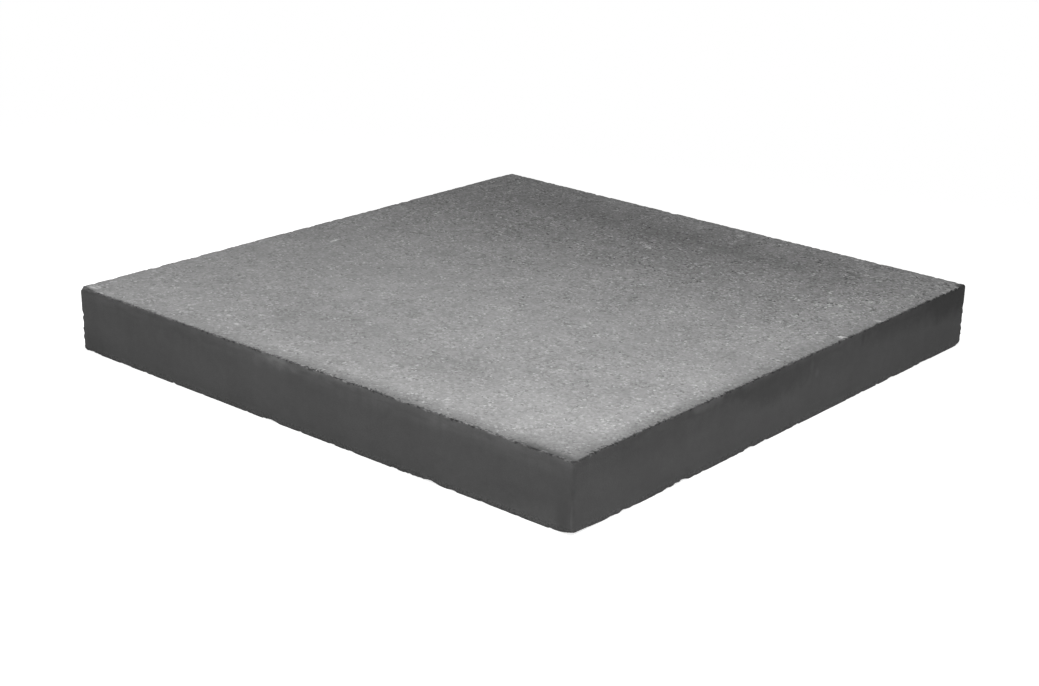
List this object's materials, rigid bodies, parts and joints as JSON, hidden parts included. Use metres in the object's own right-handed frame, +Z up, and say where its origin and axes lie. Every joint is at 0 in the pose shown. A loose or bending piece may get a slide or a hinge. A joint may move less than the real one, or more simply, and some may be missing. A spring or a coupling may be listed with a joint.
{
  "type": "concrete paving slab",
  "caption": "Flat square concrete paving slab with a fine sandy wearing face, plain upright sides and a flat bed, laid on a prepared base to pave a path, patio or terrace.",
  "frame": {"origin": "middle of the bed face, on the ground the slab lies on", "axes": "+Z up out of the wearing face, X along the slab's length and Y along its width"},
  "size_m": [0.4, 0.4, 0.0413],
  "materials": {
    "concrete": "matte"
  },
  "bodies": {
    "root": {"paving_slab": "concrete"}
  },
  "joints": []
}
